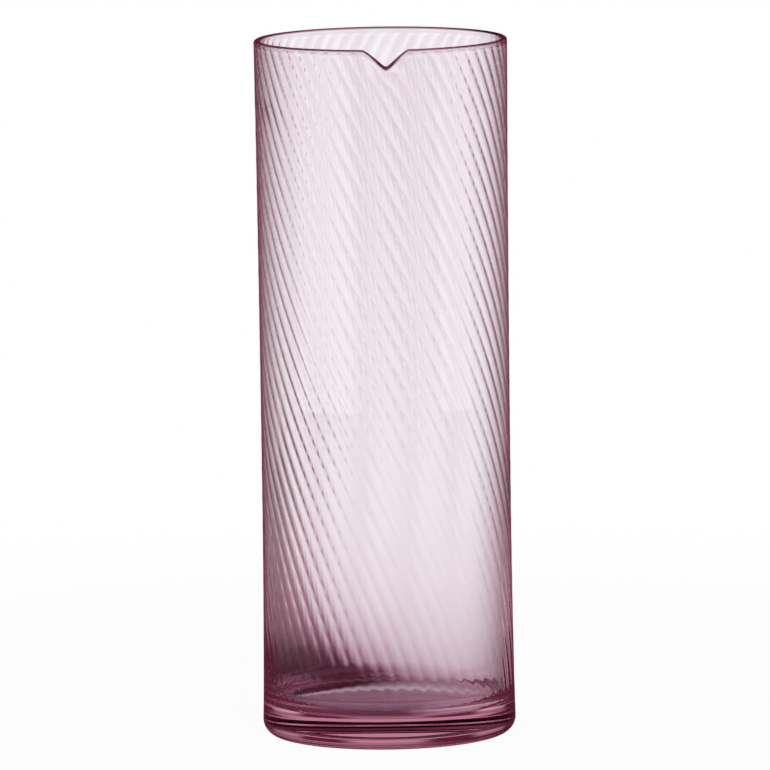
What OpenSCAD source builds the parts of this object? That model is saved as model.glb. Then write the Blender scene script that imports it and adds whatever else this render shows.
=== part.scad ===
// Swirl-optic glass carafe: one blown and pinched piece of glass.
// A tall, faintly waisted cylinder stands on a thick foot. Fine ribs wind down the inside of
// the wall, and the fire-polished rim is pinched into a small V for pouring.
// Millimetres. +Z is up, the lip faces -Y, and the origin is the middle of the foot, on the table.

/* [Body] */
// Height of the rim above the table
body_h = 264; // [200:1:320]
// Outer radius at the rim
rim_r = 47.7; // [42:0.1:56]
// Outer radius at the waist, the slimmest place
waist_r = 47; // [42:0.1:56]
// Height of the waist above the table
waist_h = 92; // [60:1:140]
// Outer radius just above the foot
foot_r = 47.8; // [42:0.1:56]
// Thickness of the wall between the ribs
wall = 2.2; // [1.6:0.1:4]
// Thickness of the fire-polished bead round the rim
bead_t = 2.4; // [1.8:0.1:4]

/* [Foot] */
// Thickness of the glass under the cavity
base_t = 12; // [8:0.5:20]
// Radius of the bottom edge, outside
foot_edge_r = 6; // [3:0.5:9]
// Width of the flat ring that the carafe stands on
stand_w = 7; // [3:0.5:12]
// Rise of the shallow hollow under the foot
punt_h = 1.2; // [0.4:0.1:3]
// Radius in the corner between the wall and the cavity floor
heel_r = 7; // [3:0.5:12]
// Extra thickness of the wall where it meets the cavity floor
heel_t = 1.4; // [0:0.1:3]
// Height over which that extra thickness dies away
heel_h = 30; // [15:1:60]

/* [Ribs] */
// Number of ribs round the wall
rib_count = 54; // [36:2:60]
// Turn of the first rib from the middle of the lip, measured at the rim
rib_start_turn = 0.35; // [0:0.05:6]
// Height of a rib's crest above the wall between the ribs
rib_depth = 0.3; // [0.1:0.05:0.8]
// Width of a rib at its root
rib_w = 2; // [1:0.1:2.5]
// Height in which a rib would wind once round the upper body
rib_lead = 567; // [400:1:1400]
// Height in which the winding sets in above the table
rib_ease_h = 38; // [15:1:60]
// Plain band between the rim and the first sign of a rib
rim_band_h = 2.8; // [2:0.1:8]
// Height in which a rib rises to its full depth below that band
rib_start_h = 4; // [2:0.5:10]

/* [Pouring lip] */
// Width of the pinch along the rim
lip_w = 17.4; // [12:0.2:30]
// Depth of the V that the pinch makes in the rim
lip_drop = 6.7; // [3:0.1:9]
// Distance that the point of the V stands out from the rim
lip_out = 2.6; // [1:0.1:5]
// Height below the rim in which the pinch dies away
lip_reach = 11; // [9:0.5:18]
// Radius that rounds the point of the V
lip_point_r = 0.7; // [0.3:0.1:2]

/* [Hidden] */

// Part of the winding that is missing right at the table, where the ribs run almost upright
rib_ease_share = 0.85;
// Bend of the V's two sides: 1 is straight, and more is hollower
lip_hollow_share = 1.3;
// Each rib has a root, a crest and a root
rib_points = 3;
// Points round a ring in the ribbed glass, the plain glass and the middle of the foot
fine_n = rib_points * rib_count;
plain_n = 2 * rib_count;
coarse_n = rib_count;
// Rings down the inside, between the lip and the heel
wall_rings = 13;
// Depths of the rings that follow the pinch, as shares of its reach
lip_ring_shares = [0.5, 1, 1.5, 2.2];
// Heights of the rings up the plain outside, as shares of the waist's height
waist_ring_shares = [0.5, 1, 1.8];

bead_r = bead_t / 2;
stand_r = foot_r - foot_edge_r;
lip_zone_z = body_h - last(lip_ring_shares) * lip_reach;
heel_z = base_t + heel_r;

function last(list) = list[len(list) - 1];
function reversed(list) = [for (i = [len(list) - 1 : -1 : 0]) list[i]];
function mix(a, b, t) = a + (b - a) * t;
function clamp(t) = max(0, min(1, t));

// Outer radius of the wall at height z: two parabolas that meet at the waist
function outer_r(z) = z < waist_h
    ? waist_r + (foot_r - waist_r) * pow((waist_h - z) / waist_h, 2)
    : waist_r + (rim_r - waist_r) * pow((z - waist_h) / (body_h - waist_h), 2);

// Inner radius between the ribs: the wall thickens a little towards the heel
function inner_r(z) =
    outer_r(z) - wall - heel_t * pow(clamp(1 - (z - base_t) / heel_h), 2);

// Height of wall that a rib has wound through at height z, less what the easing holds back
function wound_h(z) = z + rib_ease_share * rib_ease_h * (exp(-z / rib_ease_h) - 1);

// Turn of the ribs at height z, in degrees: none at the rim, and towards +X on the way down
function rib_turn(z) = 360 / rib_lead * (wound_h(body_h) - wound_h(z));

// Share of a rib's full depth at height z, from nothing at the rim's plain band
function rib_rise(z) =
    let (t = clamp((body_h - rim_band_h - z) / rib_start_h)) t * t * (3 - 2 * t);

// The pinch. Its V is hollow-sided with a rounded point, t shares of its half width from the middle
function lip_v(t) = let (s = norm([t, 2 * lip_point_r / lip_w])) s < 1 ? pow(1 - s, lip_hollow_share) : 0;

// How strongly the pinch moves glass that lay at this angle from the lip and at this height
function lip_pull(turn, r, z) =
    let (arc = abs(turn > 180 ? turn - 360 : turn) * PI / 180 * r, depth = (body_h - z) / lip_reach)
    lip_v(2 * arc / lip_w) * exp(-depth * depth);

// A point of the glass, turned from the lip by this angle, after the pinch
function glass_point(turn, r, z) =
    let (a = (turn % 360 + 360) % 360, pull = lip_pull(a, r, z), out_r = r + lip_out * pull)
    [out_r * sin(a), -out_r * cos(a), z - lip_drop * pull];

// A station is one ring of the glass: [radius, height, points round it, rib share, turn]
function plain_ring(r, z, n) = [r, z, n, 0, rib_start_turn];
function ribbed_ring(r, z, share) = [r, z, fine_n, share, rib_start_turn + rib_turn(z)];

// Angle of a ring's point from the ring's start. Where the ribs stand, each rib's points
// draw together from an even spacing to the rib's own width
function point_turn(i, n, share, r) =
    share == 0 ? 360 * i / n :
    let (half_turn = rib_w / 2 / r * 180 / PI, step = mix(360 / n, half_turn, share))
    360 / rib_count * floor(i / rib_points) + step * (i % rib_points);

// The points of one ring: a rib's middle point is its crest, which stands inwards
function ring_points(ring) =
    let (r = ring[0], z = ring[1], n = ring[2], share = ring[3], turn = ring[4])
    n == 1 ? [[0, 0, z]] :
    [for (i = [0 : n - 1])
        let (crest = i % rib_points == 1 ? share * rib_depth : 0)
        glass_point(turn + point_turn(i, n, share, r), r - crest, z)];

// Triangles between two rings, which may have different numbers of points. Each step moves on
// along the ring that is behind, so the longest edges stay short
function stitch(a, na, b, nb) =
    let (ga = na == 1 ? 0 : na, gb = nb == 1 ? 0 : nb)
    [for (i = 0, j = 0, step_a = zip_a(0, 0, ga, gb); i < ga || j < gb;
          i = step_a ? i + 1 : i, j = step_a ? j : j + 1, step_a = zip_a(i, j, ga, gb))
        step_a ? [a + i % na, b + j % nb, a + (i + 1) % na]
               : [a + i % na, b + j % nb, b + (j + 1) % nb]];
function zip_a(i, j, ga, gb) = i < ga && (j >= gb || (i + 1) * gb <= (j + 1) * ga);

// Index of the first point of each ring
function ring_starts(rings, i = 0, sum = 0) =
    i == len(rings) ? [] : concat([sum], ring_starts(rings, i + 1, sum + rings[i][2]));

// A closed skin through rings that run from one pole to the other
module skin(rings) {
    starts = ring_starts(rings);
    polyhedron(
        points = [for (ring = rings) each ring_points(ring)],
        faces = [for (k = [0 : len(rings) - 2])
            each stitch(starts[k], rings[k][2], starts[k + 1], rings[k + 1][2])],
        convexity = 8);
}

// The foot, from the middle of its hollow to the top of its rounded edge
underside = [
    plain_ring(0, punt_h, 1),
    plain_ring((stand_r - stand_w) / 2, punt_h * 3 / 4, coarse_n),
    plain_ring(stand_r - stand_w, 0, plain_n),
    for (a = [0 : 30 : 90])
        plain_ring(stand_r + foot_edge_r * sin(a), foot_edge_r * (1 - cos(a)), plain_n)
];

// The plain outside, up to the bead
outside = [
    for (s = waist_ring_shares) plain_ring(outer_r(s * waist_h), s * waist_h, plain_n),
    for (s = reversed(lip_ring_shares))
        let (z = body_h - s * lip_reach) plain_ring(outer_r(z), z, fine_n)
];

// The bead, from the outside over the top to the inside
bead = [for (a = [0 : 45 : 180])
    plain_ring(rim_r - bead_r + bead_r * cos(a), body_h - bead_r + bead_r * sin(a), fine_n)];

// The ribbed inside, down to the heel
inside = [
    ribbed_ring(inner_r(body_h - rim_band_h), body_h - rim_band_h, 0),
    for (s = lip_ring_shares)
        let (z = body_h - s * lip_reach) ribbed_ring(inner_r(z), z, rib_rise(z)),
    for (k = [1 : wall_rings])
        let (z = mix(lip_zone_z, heel_z, k / wall_rings)) ribbed_ring(inner_r(z), z, 1)
];

// The heel, where the ribs run out into the cavity floor
heel = [for (a = [30 : 30 : 90])
    let (z = heel_z - heel_r * sin(a))
    ribbed_ring(inner_r(heel_z) - heel_r * (1 - cos(a)), z, cos(a))];

cavity_floor = [
    plain_ring((inner_r(heel_z) - heel_r) / 2, base_t, coarse_n),
    plain_ring(0, base_t, 1)
];

module glass_body() {
    color([0.60, 0.33, 0.43, 0.45]) skin(concat(underside, outside, bead, inside, heel, cavity_floor));
}

glass_body();
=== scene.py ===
"""Swirl-optic glass carafe: its looks, stage and light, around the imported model.

The carafe is one piece of glass. Its section is drawn once, spun round the axis, and then
every point of the glass is moved as the glassworker moved it: the ribs wind down the inside
of the wall, and the rim is pinched into a V for pouring.
"""

import math

import bmesh
import bpy
from bpy.props import FloatProperty, FloatVectorProperty, IntProperty, PointerProperty
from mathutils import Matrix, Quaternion, Vector


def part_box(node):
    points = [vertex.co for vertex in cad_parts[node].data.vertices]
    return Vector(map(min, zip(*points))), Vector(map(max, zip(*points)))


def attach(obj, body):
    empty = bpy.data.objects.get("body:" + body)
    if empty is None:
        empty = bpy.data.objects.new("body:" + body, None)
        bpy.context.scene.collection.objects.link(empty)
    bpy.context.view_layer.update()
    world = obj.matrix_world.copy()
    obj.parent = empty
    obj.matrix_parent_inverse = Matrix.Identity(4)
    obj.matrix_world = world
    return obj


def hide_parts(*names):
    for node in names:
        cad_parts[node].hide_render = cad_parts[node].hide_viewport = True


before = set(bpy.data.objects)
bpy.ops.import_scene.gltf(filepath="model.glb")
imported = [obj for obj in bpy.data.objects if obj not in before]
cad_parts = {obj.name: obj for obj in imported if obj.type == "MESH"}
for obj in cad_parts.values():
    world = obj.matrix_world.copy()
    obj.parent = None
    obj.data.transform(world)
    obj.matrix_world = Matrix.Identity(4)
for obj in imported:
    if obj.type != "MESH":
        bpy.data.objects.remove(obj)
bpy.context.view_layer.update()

bl_info = {
    "name": "Swirl-Optic Carafe",
    "version": (1, 0, 0),
    "blender": (4, 5, 0),
    "location": "View3D > Sidebar > Carafe",
    "description": "Models a ribbed glass carafe and sets it on a plain pale table in a studio",
    "category": "Add Mesh",
}

NODE = "glass_body"
MM = 0.001
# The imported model's box, kept from before any piece is added
CAD_LOW, CAD_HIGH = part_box(NODE)


def from_hex(text):
    """Linear colour of an sRGB hex value such as 'D8A7B5', with an alpha of 1."""
    channels = [int(text[i:i + 2], 16) / 255 for i in (0, 2, 4)]
    return [c / 12.92 if c <= 0.04045 else ((c + 0.055) / 1.055) ** 2.4 for c in channels] + [1.0]


WHITE = from_hex("FFFFFF")


def add_node(tree, kind, inputs=(), **settings):
    """Adds a node with its settings, and returns its outputs.

    Each input, by name or number, is a value or another node's output to link.
    """
    node = tree.nodes.new(kind)
    for name, setting in settings.items():
        setattr(node, name, setting)
    for name, value in dict(inputs).items():
        if isinstance(value, bpy.types.NodeSocket):
            tree.links.new(value, node.inputs[name])
        else:
            node.inputs[name].default_value = value
    return node.outputs


class CarafeSizes(bpy.types.PropertyGroup):
    """Sizes of the carafe, in metres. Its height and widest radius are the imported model's."""

    height: FloatProperty(
        name="Height", description="Height of the rim above the table",
        default=CAD_HIGH.z - CAD_LOW.z, unit="LENGTH")
    foot_radius: FloatProperty(
        name="Foot Radius", description="Outer radius just above the foot",
        default=(CAD_HIGH.x - CAD_LOW.x) / 2, unit="LENGTH")
    rim_radius: FloatProperty(
        name="Rim Radius", description="Outer radius at the rim", default=47.7 * MM, unit="LENGTH")
    waist_radius: FloatProperty(
        name="Waist Radius", description="Outer radius at the slimmest place",
        default=47 * MM, unit="LENGTH")
    waist_height: FloatProperty(
        name="Waist Height", description="Height of the slimmest place above the table",
        default=92 * MM, unit="LENGTH")
    wall: FloatProperty(
        name="Wall", description="Thickness of the wall between the ribs",
        default=2.2 * MM, unit="LENGTH")
    bead: FloatProperty(
        name="Bead", description="Thickness of the fire-polished bead round the rim",
        default=2.4 * MM, unit="LENGTH")
    base: FloatProperty(
        name="Base", description="Thickness of the glass under the cavity",
        default=12 * MM, unit="LENGTH")
    foot_edge: FloatProperty(
        name="Foot Edge", description="Radius of the bottom edge, outside",
        default=6 * MM, unit="LENGTH")
    stand_width: FloatProperty(
        name="Stand Width", description="Width of the flat ring that the carafe stands on",
        default=7 * MM, unit="LENGTH")
    punt: FloatProperty(
        name="Punt", description="Rise of the shallow hollow under the foot",
        default=1.2 * MM, unit="LENGTH")
    heel_radius: FloatProperty(
        name="Heel Radius", description="Radius in the corner between wall and cavity floor",
        default=7 * MM, unit="LENGTH")
    heel_extra: FloatProperty(
        name="Heel Extra", description="Extra thickness of the wall at the cavity floor",
        default=1.4 * MM, unit="LENGTH")
    heel_height: FloatProperty(
        name="Heel Height", description="Height over which that extra thickness dies away",
        default=30 * MM, unit="LENGTH")


class CarafeRibs(bpy.types.PropertyGroup):
    """Ribs that the optic mould and the twist leave on the inside of the wall."""

    count: IntProperty(name="Ribs", description="Number of ribs round the wall", default=54)
    depth: FloatProperty(
        name="Depth", description="Height of a rib's crest above the wall",
        default=0.2 * MM, unit="LENGTH")
    sharpness: FloatProperty(
        name="Sharpness", description="How narrow a rib is for its spacing: 1 is a plain wave",
        default=2.0)
    lead: FloatProperty(
        name="Lead", description="Height in which a rib would wind once round the upper body",
        default=567 * MM, unit="LENGTH")
    ease_height: FloatProperty(
        name="Ease Height", description="Height in which the winding sets in above the table",
        default=38 * MM, unit="LENGTH")
    ease_share: FloatProperty(
        name="Ease Share", description="Part of the winding that is missing at the table",
        default=0.85, subtype="FACTOR")
    plain_band: FloatProperty(
        name="Plain Band", description="Band between the rim and the first sign of a rib",
        default=1.9 * MM, unit="LENGTH")
    rise: FloatProperty(
        name="Rise", description="Height in which a rib comes to its full depth",
        default=0.6 * MM, unit="LENGTH")
    low_depth: FloatProperty(
        name="Low Depth", description="Share of the depth that the ribs have near the foot",
        default=0.32, subtype="FACTOR")
    start_turn: FloatProperty(
        name="Start Turn", description="Turn of the first rib from the lip, at the rim",
        default=math.radians(0.35), unit="ROTATION")


class CarafeLip(bpy.types.PropertyGroup):
    """The pinch in the rim that makes the pouring lip."""

    width: FloatProperty(
        name="Width", description="Width of the pinch along the rim",
        default=17.4 * MM, unit="LENGTH")
    drop: FloatProperty(
        name="Drop", description="Depth of the V in the rim", default=6.7 * MM, unit="LENGTH")
    out: FloatProperty(
        name="Out", description="Distance that the point of the V stands out",
        default=2.6 * MM, unit="LENGTH")
    reach: FloatProperty(
        name="Reach", description="Height below the rim in which the pinch dies away",
        default=11 * MM, unit="LENGTH")
    point_radius: FloatProperty(
        name="Point Radius", description="Radius that rounds the point of the V",
        default=0.7 * MM, unit="LENGTH")
    hollow: FloatProperty(
        name="Hollow", description="Bend of the V's sides: 1 is straight, more is hollower",
        default=1.3)


class CarafeGlass(bpy.types.PropertyGroup):
    """Colour and finish of the glass."""

    tint: FloatVectorProperty(
        name="Tint", description="Colour that the glass lets through most easily",
        size=4, subtype="COLOR", min=0, max=1, default=from_hex("CB0065"))
    skin: FloatVectorProperty(
        name="Skin", description="Colour of the wall's thin skin, looked straight through",
        size=4, subtype="COLOR", min=0, max=1, default=from_hex("FBF8FB"))
    skin_edge: FloatVectorProperty(
        name="Skin Edge", description="Colour of that skin where the light grazes it",
        size=4, subtype="COLOR", min=0, max=1, default=from_hex("7E2248"))
    # Painted reflection: the dark that the round bead mirrors, painted on the rim as a dark line
    painted_rim_reflection: FloatVectorProperty(
        name="Rim Line", description="Colour of the skin that fire polishing gathers on the rim",
        size=4, subtype="COLOR", min=0, max=1, default=from_hex("4A1228"))
    density: FloatProperty(
        name="Density", description="How strongly the glass absorbs, per metre of path",
        default=8.7)
    ior: FloatProperty(name="IOR", description="Index of refraction of the glass", default=1.5)
    ripple_size: FloatProperty(
        name="Ripple Size", description="Spacing of the faint waves that blowing leaves",
        default=22 * MM, unit="LENGTH")
    ripple_depth: FloatProperty(
        name="Ripple Depth", description="Depth of those waves",
        default=0.012 * MM, unit="LENGTH")


class CarafeStage(bpy.types.PropertyGroup):
    """Table, surroundings, key light and camera."""

    table_radius: FloatProperty(
        name="Table Radius", description="Radius of the round table top",
        default=1.0, unit="LENGTH")
    table_color: FloatVectorProperty(
        name="Table Colour", description="Colour of the matt table top",
        size=4, subtype="COLOR", min=0, max=1, default=from_hex("E4E2E2"))
    room_color: FloatVectorProperty(
        name="Room Colour", description="Colour of the dim room between the boards",
        size=4, subtype="COLOR", min=0, max=1, default=from_hex("6E2E44"))
    board_color: FloatVectorProperty(
        name="Board Colour", description="Colour of the white boards above the table's edge",
        size=4, subtype="COLOR", min=0, max=1, default=from_hex("F4ECF1"))
    upper_color: FloatVectorProperty(
        name="Upper Colour", description="Colour of the boards that the cavity floor mirrors",
        size=4, subtype="COLOR", min=0, max=1, default=from_hex("C79DB4"))
    board_turn: FloatProperty(
        name="Board Turn", description="Azimuth of the middle of the board behind the carafe",
        default=math.radians(3), unit="ROTATION")
    board_white: FloatProperty(
        name="Board White", description="Half width of the plain white part of a board",
        default=math.radians(7), unit="ROTATION")
    board_edge: FloatProperty(
        name="Board Edge", description="Half width at which a board gives way to the room",
        default=math.radians(17), unit="ROTATION")
    box_level: FloatProperty(
        name="Softboxes", description="Brightness of the softboxes, where 1 is white", default=1.2)
    # The painted shadow on the table, which only looks through the glass find
    shadow_left: FloatProperty(
        name="Shadow Left", description="Distance up to which the shadow is darkest, on the left",
        default=165 * MM, unit="LENGTH")
    shadow_right: FloatProperty(
        name="Shadow Right", description="The same on the right: below 0 it is lighter",
        default=-60 * MM, unit="LENGTH")
    shadow_reach: FloatProperty(
        name="Shadow Reach", description="Further distance in which most of the shadow fades",
        default=200 * MM, unit="LENGTH")
    streak_color: FloatVectorProperty(
        name="Streak Colour", description="Colour of the long shadow back and to the left",
        size=4, subtype="COLOR", min=0, max=1, default=from_hex("B07C88"))
    key_watts: FloatProperty(
        name="Key", description="Power of the key light", default=16.0, unit="POWER")
    view_turn: FloatProperty(
        name="View Turn", description="Azimuth of the camera, from straight in front of the lip",
        default=math.radians(-2.3), unit="ROTATION")
    view_pitch: FloatProperty(
        name="View Pitch", description="Angle at which the camera looks down",
        default=math.radians(7.28), unit="ROTATION")
    view_roll: FloatProperty(
        name="View Roll", description="Tilt of the camera about its line of sight",
        default=math.radians(0.79), unit="ROTATION")
    view_distance: FloatProperty(
        name="View Distance", description="Distance from the camera to the carafe",
        default=4.064, unit="LENGTH")
    view_aim: FloatProperty(
        name="View Aim", description="Height on the carafe's axis that the camera looks at",
        default=132.5 * MM, unit="LENGTH")


# Side of the wall that a station of the section lies on
OUTSIDE, INSIDE = 0, 1
POINTS_PER_RIB = 8
# Number of rings that each stretch of the section gives the skin
UNDERSIDE_RINGS = 5
EDGE_RINGS = 9
OUTER_WALL_RINGS = 22
LIP_RINGS = 22
BEAD_RINGS = 14
INNER_WALL_RINGS = 76
HEEL_RINGS = 10
FLOOR_RINGS = 6
# Points closer together than this are one, as on the axis
MERGE_DISTANCE = 0.01 * MM
# The rings stand close down to this many reaches of the pinch below the rim
LIP_ZONE_SHARE = 2.2
# How the ribs run out over the heel: below 1 they last longer
HEEL_RIB_POWER = 0.7
# Heights, as shares of the whole, between which the ribs come to their full depth
LOW_RIBS = (0.15, 0.62)
# Depth of the painted dark line along the rim, in metres, and its soft edge: painted reflection of
# the dark that the round bead mirrors
RIM_LINE, RIM_LINE_EDGE = 0.6 * MM, 0.4 * MM
# How much deeper that line is where the rim is pinched
RIM_LINE_AT_PINCH = 1.6


def outer_radius(s, z):
    """Outer radius of the wall at height z: two parabolas that meet at the waist."""
    if z < s.waist_height:
        share = (s.waist_height - z) / s.waist_height
        return s.waist_radius + (s.foot_radius - s.waist_radius) * share ** 2
    share = (z - s.waist_height) / (s.height - s.waist_height)
    return s.waist_radius + (s.rim_radius - s.waist_radius) * share ** 2


def inner_radius(s, z):
    """Inner radius between the ribs: the wall thickens a little towards the heel."""
    share = max(0.0, 1 - (z - s.base) / s.heel_height)
    return outer_radius(s, z) - s.wall - s.heel_extra * share ** 2


def steps(start, end, count):
    """Evenly spaced values from start to end, without start itself."""
    return [start + (end - start) * i / count for i in range(1, count + 1)]


def ease(t):
    """Smooth rise from 0, where t is 0 or less, to 1, where t is 1 or more."""
    t = min(1.0, max(0.0, t))
    return t * t * (3 - 2 * t)


def rib_rise(s, ribs, z):
    """Share of a rib's full depth at height z, from nothing at the rim's plain band."""
    return ease((s.height - ribs.plain_band - z) / ribs.rise)


def low_rib_share(s, ribs, z):
    """Share of their depth that the ribs keep at height z: they are shallower near the foot."""
    share = ease((z / s.height - LOW_RIBS[0]) / (LOW_RIBS[1] - LOW_RIBS[0]))
    return ribs.low_depth + (1 - ribs.low_depth) * share


def section(s, ribs, lip):
    """The carafe's half section as stations: (radius, height, side, rib share).

    It runs from the middle of the foot, out and up the outside, over the bead and down the
    inside to the middle of the cavity floor.
    """
    stand_outer = s.foot_radius - s.foot_edge
    stand_inner = stand_outer - s.stand_width
    lip_zone = s.height - LIP_ZONE_SHARE * lip.reach
    bead_radius = s.bead / 2
    heel_z = s.base + s.heel_radius

    stations = [(0.0, s.punt, OUTSIDE, 0.0)]
    for r in steps(0, stand_inner, UNDERSIDE_RINGS):
        stations.append((r, s.punt * (1 - (r / stand_inner) ** 2), OUTSIDE, 0.0))
    for a in [0.0] + steps(0, math.pi / 2, EDGE_RINGS):
        r = stand_outer + s.foot_edge * math.sin(a)
        stations.append((r, s.foot_edge * (1 - math.cos(a)), OUTSIDE, 0.0))
    for z in steps(s.foot_edge, lip_zone, OUTER_WALL_RINGS):
        stations.append((outer_radius(s, z), z, OUTSIDE, 0.0))
    for z in steps(lip_zone, s.height - bead_radius, LIP_RINGS):
        stations.append((outer_radius(s, z), z, OUTSIDE, 0.0))
    for a in steps(0, math.pi, BEAD_RINGS):
        r = s.rim_radius - bead_radius + bead_radius * math.cos(a)
        stations.append((r, s.height - bead_radius + bead_radius * math.sin(a), OUTSIDE, 0.0))
    band_z = s.height - ribs.plain_band / 2 - bead_radius / 2
    for z in [band_z] + steps(band_z, lip_zone, LIP_RINGS):
        stations.append((inner_radius(s, z), z, INSIDE, rib_rise(s, ribs, z)))
    for z in steps(lip_zone, heel_z, INNER_WALL_RINGS):
        stations.append((inner_radius(s, z), z, INSIDE, low_rib_share(s, ribs, z)))
    heel_r = inner_radius(s, heel_z) - s.heel_radius
    for a in steps(0, math.pi / 2, HEEL_RINGS):
        r = heel_r + s.heel_radius * math.cos(a)
        share = ribs.low_depth * max(0.0, math.cos(a)) ** HEEL_RIB_POWER
        stations.append((r, heel_z - s.heel_radius * math.sin(a), INSIDE, share))
    for r in steps(heel_r, 0, FLOOR_RINGS):
        stations.append((r, s.base, INSIDE, 0.0))
    return stations


def wound_height(ribs, z):
    """Height of wall that a rib has wound through at height z, less what the easing holds back."""
    return z + ribs.ease_share * ribs.ease_height * (math.exp(-z / ribs.ease_height) - 1)


def rib_turn(s, ribs, z):
    """Turn of the ribs at height z: none at the rim, and towards +X on the way down."""
    return 2 * math.pi / ribs.lead * (wound_height(ribs, s.height) - wound_height(ribs, z))


def lip_pull(s, lip, turn, r, z):
    """How strongly the pinch moves glass that lay at this turn from the lip and this height."""
    arc = abs(math.remainder(turn, 2 * math.pi)) * r
    t = math.hypot(2 * arc / lip.width, 2 * lip.point_radius / lip.width)
    if t >= 1:
        return 0.0
    return (1 - t) ** lip.hollow * math.exp(-((s.height - z) / lip.reach) ** 2)


def model_glass(s, ribs, lip):
    """Spins the section into a closed glass body, twists the ribs into it and pinches the lip."""
    stations = section(s, ribs, lip)
    bm = bmesh.new()
    layer = bm.verts.layers.int.new("station")
    profile = []
    for i, (r, z, _, _) in enumerate(stations):
        vert = bm.verts.new((0, -r, z))
        vert[layer] = i
        profile.append(vert)
    edges = [bm.edges.new(pair) for pair in zip(profile, profile[1:])]
    bmesh.ops.spin(
        bm, geom=profile + edges, cent=(0, 0, 0), axis=(0, 0, 1), dvec=(0, 0, 0),
        angle=2 * math.pi, steps=ribs.count * POINTS_PER_RIB, use_merge=True)
    bmesh.ops.remove_doubles(bm, verts=bm.verts, dist=MERGE_DISTANCE)

    # Share of the painted dark rim line at each point, a painted reflection
    rim_reflection = bm.verts.layers.float.new("painted_rim_reflection")
    for vert in bm.verts:
        r, z, side, share = stations[vert[layer]]
        turn = math.atan2(vert.co.x, -vert.co.y)
        if side == INSIDE:
            wave = 0.5 + 0.5 * math.cos(turn * ribs.count)
            r -= ribs.depth * share * wave ** ribs.sharpness
        turn += ribs.start_turn + rib_turn(s, ribs, z)
        pull = lip_pull(s, lip, turn, r, z)
        line = RIM_LINE * (1 + RIM_LINE_AT_PINCH * pull) + RIM_LINE_EDGE
        if side == OUTSIDE and z > s.height - line:
            vert[rim_reflection] = min(1.0, (z - s.height + line) / RIM_LINE_EDGE)
        r += lip.out * pull
        vert.co = (r * math.sin(turn), -r * math.cos(turn), z - lip.drop * pull)

    bmesh.ops.recalc_face_normals(bm, faces=bm.faces)
    mesh = bpy.data.meshes.new("carafe")
    bm.to_mesh(mesh)
    bm.free()
    mesh.shade_smooth()
    return mesh


# Detail of the noise that draws the blowing waves
RIPPLE_DETAIL = 1.0
# Setting of Layer Weight at which Facing is 1 less the cosine of a look's slant
FACING_BLEND = 0.5
# How far a look slants to the skin, from 0 for straight on to 1 for a graze, where the edge
# colour sets in and where it is full
SKIN_FACING = (0.4, 0.95)
# Near the foot the wall is thicker, and the edge colour sets in at this value below the first
# height. The two values blend up to the second height
SKIN_FACING_LOW = 0.15
SKIN_LOW_FROM, SKIN_LOW_TO = 30 * MM, 145 * MM


def rose_tinted_soda_glass(look):
    """Soda-lime glass, tinted rose in the melt, blown and fire polished.

    Clear and smooth as water, so it shows what stands behind it. Its colour comes from the
    length of glass that the light crosses: pale through a wall, dark along an edge and in the
    thick foot. Absorption in the melt does that in the foot. In the thin wall the skin's colour
    does it, which deepens where a look grazes the glass. Blowing leaves faint waves that make
    reflections swim, and a thin dark line is painted on the rim, a painted reflection of the dark
    that the round bead mirrors.
    """
    material = bpy.data.materials.new("rose_tinted_soda_glass")
    material.use_nodes = True
    tree = material.node_tree
    tree.nodes.clear()
    place = add_node(tree, "ShaderNodeTexCoord")["Object"]
    waves = add_node(
        tree, "ShaderNodeTexNoise",
        {"Vector": place, "Scale": 1 / look.ripple_size, "Detail": RIPPLE_DETAIL})["Fac"]
    ripple = add_node(
        tree, "ShaderNodeBump",
        {"Height": waves, "Distance": look.ripple_depth, "Strength": 1.0})["Normal"]
    facing = add_node(tree, "ShaderNodeLayerWeight", {"Blend": FACING_BLEND})["Facing"]
    _, _, z = add_node(tree, "ShaderNodeSeparateXYZ", {0: place})
    sets_in = add_node(
        tree, "ShaderNodeMapRange",
        {0: z, 1: SKIN_LOW_FROM, 2: SKIN_LOW_TO, 3: SKIN_FACING_LOW, 4: SKIN_FACING[0]},
        interpolation_type="SMOOTHSTEP")[0]
    grazing = add_node(
        tree, "ShaderNodeMapRange", {0: facing, 1: sets_in, 2: SKIN_FACING[1]},
        interpolation_type="SMOOTHSTEP")[0]
    skin = add_node(
        tree, "ShaderNodeMix", {0: grazing, 6: look.skin, 7: look.skin_edge},
        data_type="RGBA")[2]
    # Painted reflection: a dark line painted along the rim for the dark that the round bead
    # mirrors
    rim_reflection_share = add_node(
        tree, "ShaderNodeAttribute", attribute_type="GEOMETRY", attribute_name="painted_rim_reflection")["Fac"]
    skin = add_node(
        tree, "ShaderNodeMix", {0: rim_reflection_share, 6: skin, 7: look.painted_rim_reflection}, data_type="RGBA")[2]
    surface = add_node(
        tree, "ShaderNodeBsdfPrincipled",
        {"Base Color": skin, "Roughness": 0.0, "IOR": look.ior,
         "Transmission Weight": 1.0, "Normal": ripple})["BSDF"]
    melt = add_node(
        tree, "ShaderNodeVolumeAbsorption",
        {"Color": look.tint, "Density": look.density})["Volume"]
    add_node(tree, "ShaderNodeOutputMaterial", {"Surface": surface, "Volume": melt})
    return material


class CARAFE_OT_add_glass(bpy.types.Operator):
    """Model the glass body with its ribs and pouring lip"""

    bl_idname = "carafe.add_glass"
    bl_label = "Add Glass Body"

    def execute(self, context):
        scene = context.scene
        mesh = model_glass(scene.carafe_sizes, scene.carafe_ribs, scene.carafe_lip)
        mesh.materials.append(rose_tinted_soda_glass(scene.carafe_glass))
        carafe = bpy.data.objects.new("carafe", mesh)
        scene.collection.objects.link(carafe)
        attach(carafe, "root")
        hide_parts(NODE)
        return {"FINISHED"}


# Angles of the studio are in degrees: azimuths from +Y towards +X, and heights above the horizon
# Softboxes: azimuth of the middle, half width and soft edge
SOFTBOXES = ((112.0, 15.0, 5.0), (-121.0, 24.0, 12.0))
SOFTBOX_TOP = 55.0
SOFTBOX_EDGE = 10.0
SKYLIGHT_FROM, SKYLIGHT_TO = 45.0, 75.0
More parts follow.
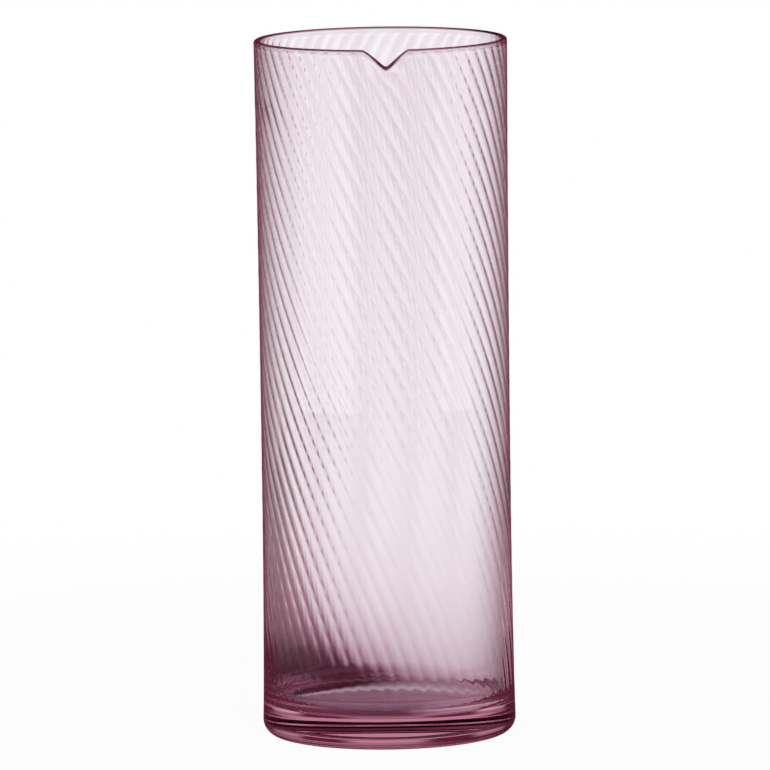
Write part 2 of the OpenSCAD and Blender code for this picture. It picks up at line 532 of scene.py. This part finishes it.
# White boards stand all round. Pairs of heights between which they change, from below upwards:
# from white to the board colour, from wide to narrow, to the upper colour, and to nothing
BOARDS = 8
BOARD_TINT_FROM, BOARD_TINT_TO = -7.0, -4.5
BOARD_FLARE_FROM, BOARD_FLARE_TO, BOARD_FLARE = -7.0, -5.4, 0.6
ROSE_FROM, ROSE_TO = 2.0, 6.0
BOARD_TOP_FROM, BOARD_TOP_TO = 9.0, 14.0
# A second row of boards hangs above them: its turn, how much wider and brighter it is, and the
# heights in which it begins and ends
UPPER_TURN, UPPER_FLARE, UPPER_LEVEL = -20.0, 1.6, 1.5
UPPER_FOOT, UPPER_TOP = (10.0, 14.0), (40.0, 60.0)


def ring_of_boards(tree, x, y, turn):
    """A wave round the compass, from 1 at the middle of each board to -1 midway between two."""
    azimuth = add_node(tree, "ShaderNodeMath", {0: x, 1: y}, operation="ARCTAN2")[0]
    azimuth = add_node(tree, "ShaderNodeMath", {0: azimuth, 1: turn}, operation="SUBTRACT")[0]
    ring = add_node(tree, "ShaderNodeMath", {0: azimuth, 1: BOARDS}, operation="MULTIPLY")[0]
    return add_node(tree, "ShaderNodeMath", {0: ring}, operation="COSINE")[0]


def lit_boards(tree, stage, ring, flare):
    """Brightness of a ring of boards, from 0 in a gap to 1. A flare above 0 widens them."""
    ring = add_node(tree, "ShaderNodeMath", {0: ring, 1: flare}, operation="ADD")[0]
    return add_node(
        tree, "ShaderNodeMapRange",
        {0: ring, 1: math.cos(BOARDS * stage.board_edge),
         2: math.cos(BOARDS * stage.board_white)}, interpolation_type="SMOOTHSTEP")[0]


def light_studio(stage):
    """The studio all round the table, as a world.

    The camera sees plain white. Through the glass it sees white boards all round, with gaps
    between them that draw the ribs and the dark edges, and rose boards higher up, which the
    cavity floor mirrors. What the outside mirrors, and what lights it, is a dim room with two
    softboxes and a light overhead.
    """
    world = bpy.data.worlds.new("studio")
    bpy.context.scene.world = world
    world.use_nodes = True
    tree = world.node_tree
    tree.nodes.clear()
    direction = add_node(tree, "ShaderNodeTexCoord")["Generated"]
    x, y, z = add_node(tree, "ShaderNodeSeparateXYZ", {0: direction})
    azimuth = add_node(tree, "ShaderNodeMath", {0: x, 1: y}, operation="ARCTAN2")[0]
    height = add_node(tree, "ShaderNodeMath", {0: z}, operation="ARCSINE")[0]

    # Light overhead and softboxes, which reflections show
    top = add_node(
        tree, "ShaderNodeMapRange",
        {0: height, 1: math.radians(SOFTBOX_TOP), 2: math.radians(SOFTBOX_TOP + SOFTBOX_EDGE),
         3: stage.box_level, 4: 0.0}, interpolation_type="SMOOTHSTEP")[0]
    boxes = add_node(
        tree, "ShaderNodeMapRange",
        {0: height, 1: math.radians(SKYLIGHT_FROM), 2: math.radians(SKYLIGHT_TO)},
        interpolation_type="SMOOTHSTEP")[0]
    for middle, half, edge in SOFTBOXES:
        away = add_node(
            tree, "ShaderNodeMath", {0: azimuth, 1: math.radians(middle)},
            operation="SUBTRACT")[0]
        away = add_node(
            tree, "ShaderNodeMath", {0: away, 1: math.pi, 2: -math.pi}, operation="WRAP")[0]
        away = add_node(tree, "ShaderNodeMath", {0: away}, operation="ABSOLUTE")[0]
        box = add_node(
            tree, "ShaderNodeMapRange",
            {0: away, 1: math.radians(half), 2: math.radians(half + edge), 3: top, 4: 0.0},
            interpolation_type="SMOOTHSTEP")[0]
        boxes = add_node(tree, "ShaderNodeMath", {0: boxes, 1: box}, operation="MAXIMUM")[0]

    # Boards, which show through the glass
    flare = add_node(
        tree, "ShaderNodeMapRange",
        {0: height, 1: math.radians(BOARD_FLARE_FROM), 2: math.radians(BOARD_FLARE_TO),
         3: BOARD_FLARE, 4: 0.0}, interpolation_type="SMOOTHSTEP")[0]
    boards = lit_boards(tree, stage, ring_of_boards(tree, x, y, stage.board_turn), flare)
    under_top = add_node(
        tree, "ShaderNodeMapRange",
        {0: height, 1: math.radians(BOARD_TOP_FROM), 2: math.radians(BOARD_TOP_TO),
         3: 1.0, 4: 0.0}, interpolation_type="SMOOTHSTEP")[0]
    boards = add_node(
        tree, "ShaderNodeMath", {0: boards, 1: under_top}, operation="MULTIPLY")[0]
    foot = add_node(
        tree, "ShaderNodeMapRange",
        {0: height, 1: math.radians(UPPER_FOOT[0]), 2: math.radians(UPPER_FOOT[1]),
         4: UPPER_LEVEL}, interpolation_type="SMOOTHSTEP")[0]
    upper = add_node(
        tree, "ShaderNodeMapRange",
        {0: height, 1: math.radians(UPPER_TOP[0]), 2: math.radians(UPPER_TOP[1]), 3: foot, 4: 0.0},
        interpolation_type="SMOOTHSTEP")[0]
    row = lit_boards(
        tree, stage, ring_of_boards(tree, x, y, math.radians(UPPER_TURN)), UPPER_FLARE)
    upper = add_node(tree, "ShaderNodeMath", {0: upper, 1: row}, operation="MULTIPLY")[0]
    boards = add_node(tree, "ShaderNodeMath", {0: boards, 1: upper}, operation="MAXIMUM")[0]

    # What each kind of ray sees. The brightest lights are above white, so their share isn't
    # held at 1, and only through the glass are the boards rose higher up
    ray = add_node(tree, "ShaderNodeLightPath")
    lit = add_node(
        tree, "ShaderNodeMix", {0: ray["Is Transmission Ray"], 2: boxes, 3: boards})[0]
    tinted = add_node(
        tree, "ShaderNodeMapRange",
        {0: height, 1: math.radians(BOARD_TINT_FROM), 2: math.radians(BOARD_TINT_TO)},
        interpolation_type="SMOOTHSTEP")[0]
    white = add_node(
        tree, "ShaderNodeMix", {0: tinted, 6: WHITE, 7: stage.board_color},
        data_type="RGBA")[2]
    high = add_node(
        tree, "ShaderNodeMapRange",
        {0: height, 1: math.radians(ROSE_FROM), 2: math.radians(ROSE_TO),
         4: ray["Is Transmission Ray"]}, interpolation_type="SMOOTHSTEP")[0]
    white = add_node(
        tree, "ShaderNodeMix", {0: high, 6: white, 7: stage.upper_color}, data_type="RGBA")[2]
    seen = add_node(
        tree, "ShaderNodeMix", {0: lit, 6: stage.room_color, 7: white},
        data_type="RGBA", clamp_factor=False)[2]
    seen = add_node(
        tree, "ShaderNodeMix", {0: ray["Is Camera Ray"], 6: seen, 7: WHITE},
        data_type="RGBA")[2]
    shine = add_node(tree, "ShaderNodeBackground", {"Color": seen})[0]
    add_node(tree, "ShaderNodeOutputWorld", {"Surface": shine})


# Share of plain white in what the camera sees of the table near the carafe. The rest is the lit
# sheet with its shadow, which gives way to white between these distances, in metres
TABLE_CAMERA_SHARE = 0.96
TABLE_FADE_FROM, TABLE_FADE_TO = 0.25, 0.6
TABLE_SEGMENTS = 96
TABLE_ROUGHNESS, TABLE_SPECULAR = 0.8, 0.1
# The boards' painted light on the table: its turn, and twice a distance in metres with the flare
# there
TABLE_BOARD_TURN = 5.0
TABLE_FLARE_NEAR, TABLE_FLARE_FAR = (0.3, 1.3), (0.7, 0.3)
# Places on the X axis between which the painted shadow changes from its left reach to its right
# one
SHADOW_SIDES = (-40 * MM, 40 * MM)
# Share of the light that is left in the darkest part of the painted shadow
SHADOW_LIGHT = 0.04
# The long painted shadow: azimuths of its soft edges, and distances in metres where it dies away
STREAK_RIGHT, STREAK_LEFT = (-9.0, -2.0), (-31.0, -24.0)
STREAK_END = (0.7, 1.0)
# Powers that make red, green and blue of the light left in the painted shadow: the lower, the
# lighter
SHADOW_TINT = (0.65, 1.0, 0.81)


def laminate_with_painted_shadow(stage):
    """Matt white laminate, lit evenly from below, as a product table is.

    The camera sees it as nearly white, with only a trace of the carafe's real shadow. Through the
    glass it shows a painted rose shadow in place of the one that a tinted carafe throws: dark
    close to the foot, with a long soft streak back and to the left. The boards' light on it from
    all round is painted light too, and in reflections it shows the room's dim colour, a painted
    reflection.
    """
    material = bpy.data.materials.new("laminate_with_painted_shadow")
    material.use_nodes = True
    tree = material.node_tree
    tree.nodes.clear()
    place = add_node(tree, "ShaderNodeTexCoord")["Object"]
    away = add_node(tree, "ShaderNodeVectorMath", {0: place}, operation="LENGTH")[1]
    x, y, _ = add_node(tree, "ShaderNodeSeparateXYZ", {0: place})
    # Painted light: the boards' light on the table, as a pattern round the compass
    flare = add_node(
        tree, "ShaderNodeMapRange",
        {0: away, 1: TABLE_FLARE_NEAR[0], 2: TABLE_FLARE_FAR[0],
         3: TABLE_FLARE_NEAR[1], 4: TABLE_FLARE_FAR[1]}, interpolation_type="SMOOTHSTEP")[0]
    boards = lit_boards(
        tree, stage, ring_of_boards(tree, x, y, math.radians(TABLE_BOARD_TURN)), flare)
    # Painted rose shadow round the foot, in the painted light of the boards
    start = add_node(
        tree, "ShaderNodeMapRange",
        {0: x, 1: SHADOW_SIDES[0], 2: SHADOW_SIDES[1],
         3: stage.shadow_left, 4: stage.shadow_right}, interpolation_type="SMOOTHSTEP")[0]
    dark = add_node(tree, "ShaderNodeMath", {0: away, 1: start}, operation="SUBTRACT")[0]
    dark = add_node(
        tree, "ShaderNodeMath", {0: dark, 1: stage.shadow_reach}, operation="DIVIDE")[0]
    dark = add_node(tree, "ShaderNodeMath", {0: 1 / math.e, 1: dark}, operation="POWER")[0]
    light = add_node(tree, "ShaderNodeMath", {0: 1.0, 1: dark}, operation="SUBTRACT")[0]
    light = add_node(
        tree, "ShaderNodeMath", {0: light, 1: SHADOW_LIGHT}, operation="MAXIMUM")[0]
    channels = [
        add_node(tree, "ShaderNodeMath", {0: light, 1: power}, operation="POWER")[0]
        for power in SHADOW_TINT]
    shade = add_node(tree, "ShaderNodeCombineColor", dict(enumerate(channels)))[0]
    # Painted board light, with the room's colour painted in the gaps
    sides = add_node(
        tree, "ShaderNodeMix", {0: boards, 6: stage.room_color, 7: WHITE},
        data_type="RGBA")[2]
    shade = add_node(
        tree, "ShaderNodeMix", {0: 1.0, 6: shade, 7: sides},
        data_type="RGBA", blend_type="MULTIPLY")[2]

    # Painted long soft shadow back and to the left
    azimuth = add_node(tree, "ShaderNodeMath", {0: x, 1: y}, operation="ARCTAN2")[0]
    end = add_node(
        tree, "ShaderNodeMapRange", {0: away, 1: STREAK_END[0], 2: STREAK_END[1], 3: 1.0, 4: 0.0},
        interpolation_type="SMOOTHSTEP")[0]
    streak = add_node(
        tree, "ShaderNodeMapRange",
        {0: azimuth, 1: math.radians(STREAK_RIGHT[0]), 2: math.radians(STREAK_RIGHT[1]),
         3: end, 4: 0.0}, interpolation_type="SMOOTHSTEP")[0]
    streak = add_node(
        tree, "ShaderNodeMapRange",
        {0: azimuth, 1: math.radians(STREAK_LEFT[0]), 2: math.radians(STREAK_LEFT[1]),
         3: 0.0, 4: streak}, interpolation_type="SMOOTHSTEP")[0]
    shade = add_node(
        tree, "ShaderNodeMix", {0: streak, 6: shade, 7: stage.streak_color},
        data_type="RGBA", blend_type="MULTIPLY")[2]

    # What each kind of ray sees: only diffuse light and, faintly, the camera find the lit sheet
    # with its real shadow. Looks through the glass find the painted shadow and painted board
    # light, and reflections find the room's colour, a painted reflection
    ray = add_node(tree, "ShaderNodeLightPath")
    glow_color = add_node(
        tree, "ShaderNodeMix",
        {0: ray["Is Transmission Ray"], 6: stage.room_color, 7: shade}, data_type="RGBA")[2]
    glow_color = add_node(
        tree, "ShaderNodeMix",
        {0: ray["Is Camera Ray"], 6: glow_color, 7: WHITE}, data_type="RGBA")[2]
    plain = add_node(
        tree, "ShaderNodeMapRange",
        {0: away, 1: TABLE_FADE_FROM, 2: TABLE_FADE_TO, 3: TABLE_CAMERA_SHARE, 4: 1.0},
        interpolation_type="SMOOTHSTEP")[0]
    share = add_node(
        tree, "ShaderNodeMath", {0: plain, 1: ray["Is Camera Ray"]}, operation="MULTIPLY")[0]
    share = add_node(
        tree, "ShaderNodeMath", {0: share, 1: ray["Is Transmission Ray"]}, operation="MAXIMUM")[0]
    share = add_node(
        tree, "ShaderNodeMath", {0: share, 1: ray["Is Glossy Ray"]}, operation="MAXIMUM")[0]
    sheet = add_node(
        tree, "ShaderNodeBsdfPrincipled",
        {"Base Color": stage.table_color, "Roughness": TABLE_ROUGHNESS,
         "Specular IOR Level": TABLE_SPECULAR})[0]
    glow = add_node(tree, "ShaderNodeEmission", {"Color": glow_color, "Strength": 1.0})[0]
    mix = add_node(tree, "ShaderNodeMixShader", {0: share, 1: sheet, 2: glow})[0]
    add_node(tree, "ShaderNodeOutputMaterial", {"Surface": mix})
    return material


def lay_table(stage):
    """A round table top under the foot."""
    bm = bmesh.new()
    bmesh.ops.create_circle(
        bm, cap_ends=True, segments=TABLE_SEGMENTS, radius=stage.table_radius)
    mesh = bpy.data.meshes.new("table_top")
    bm.to_mesh(mesh)
    bm.free()
    mesh.materials.append(laminate_with_painted_shadow(stage))
    table = bpy.data.objects.new("table_top", mesh)
    bpy.context.scene.collection.objects.link(table)


# The key light's direction in degrees, and its distance and width in metres
KEY_AZIMUTH, KEY_ELEVATION = 172.0, 20.0
KEY_DISTANCE, KEY_SIZE = 1.8, 0.35


def hang_key_light(stage):
    """The key light: a small softbox in front and above, which throws the shadow back."""
    lamp = bpy.data.lights.new("key", "AREA")
    lamp.shape = "DISK"
    lamp.size = KEY_SIZE
    lamp.energy = stage.key_watts
    key = bpy.data.objects.new("key", lamp)
    azimuth, elevation = math.radians(KEY_AZIMUTH), math.radians(KEY_ELEVATION)
    towards = Vector((
        math.sin(azimuth) * math.cos(elevation),
        math.cos(azimuth) * math.cos(elevation),
        math.sin(elevation)))
    key.location = towards * KEY_DISTANCE
    key.rotation_mode = "QUATERNION"
    key.rotation_quaternion = (-towards).to_track_quat("-Z", "Y")
    key.visible_camera = False
    key.visible_glossy = False
    key.visible_transmission = False
    bpy.context.scene.collection.objects.link(key)


SENSOR_MM = 36.0
PHOTO_SIDE_PX = 770
# Focal length in the photograph's pixels, from the perspective of the rim and the foot
FOCAL_PX = 10767
FAR_CLIP = 100.0
# A look through the foot crosses and mirrors in the glass many times
GLASS_BOUNCES, GLOSSY_BOUNCES = 32, 16


def place_camera(stage):
    """The photograph's camera: a long lens, above the rim's height and tilted down."""
    lens = bpy.data.cameras.new("camera")
    lens.sensor_width = SENSOR_MM
    lens.lens = FOCAL_PX / PHOTO_SIDE_PX * SENSOR_MM
    lens.clip_end = FAR_CLIP
    camera = bpy.data.objects.new("camera", lens)
    ahead = Vector((0, math.cos(stage.view_pitch), -math.sin(stage.view_pitch)))
    turn = Quaternion((0, 0, 1), stage.view_turn)
    level = ahead.to_track_quat("-Z", "Y")
    camera.rotation_mode = "QUATERNION"
    camera.rotation_quaternion = turn @ Quaternion(ahead, stage.view_roll) @ level
    camera.location = turn @ (Vector((0, 0, stage.view_aim)) - ahead * stage.view_distance)
    bpy.context.scene.collection.objects.link(camera)
    bpy.context.scene.camera = camera


class CARAFE_OT_set_stage(bpy.types.Operator):
    """Lay the table, light the studio and place the camera"""

    bl_idname = "carafe.set_stage"
    bl_label = "Set Stage"

    def execute(self, context):
        scene = context.scene
        light_studio(scene.carafe_stage)
        lay_table(scene.carafe_stage)
        hang_key_light(scene.carafe_stage)
        place_camera(scene.carafe_stage)
        scene.view_settings.view_transform = "Standard"
        scene.cycles.max_bounces = GLASS_BOUNCES
        scene.cycles.transmission_bounces = GLASS_BOUNCES
        scene.cycles.glossy_bounces = GLOSSY_BOUNCES
        return {"FINISHED"}


class CARAFE_PT_panel(bpy.types.Panel):
    """Lists the sizes, colours and steps of the carafe"""

    bl_label = "Carafe"
    bl_idname = "CARAFE_PT_panel"
    bl_space_type = "VIEW_3D"
    bl_region_type = "UI"
    bl_category = "Carafe"

    def draw(self, context):
        for name, group, heading in GROUPS:
            box = self.layout.box()
            box.label(text=heading)
            settings = getattr(context.scene, name)
            for key in group.__annotations__:
                box.prop(settings, key)
        for operator in (CARAFE_OT_add_glass, CARAFE_OT_set_stage):
            self.layout.operator(operator.bl_idname)


GROUPS = (
    ("carafe_sizes", CarafeSizes, "Sizes"),
    ("carafe_ribs", CarafeRibs, "Ribs"),
    ("carafe_lip", CarafeLip, "Pouring Lip"),
    ("carafe_glass", CarafeGlass, "Glass"),
    ("carafe_stage", CarafeStage, "Stage"),
)
CLASSES = tuple(group for _, group, _ in GROUPS) + (
    CARAFE_OT_add_glass, CARAFE_OT_set_stage, CARAFE_PT_panel)


def register():
    for cls in CLASSES:
        bpy.utils.register_class(cls)
    for name, group, _ in GROUPS:
        setattr(bpy.types.Scene, name, PointerProperty(type=group))


def unregister():
    for name, _, _ in GROUPS:
        delattr(bpy.types.Scene, name)
    for cls in reversed(CLASSES):
        bpy.utils.unregister_class(cls)


def main():
    register()
    bpy.ops.carafe.add_glass()
    bpy.ops.carafe.set_stage()


if __name__ == "__main__":
    main()
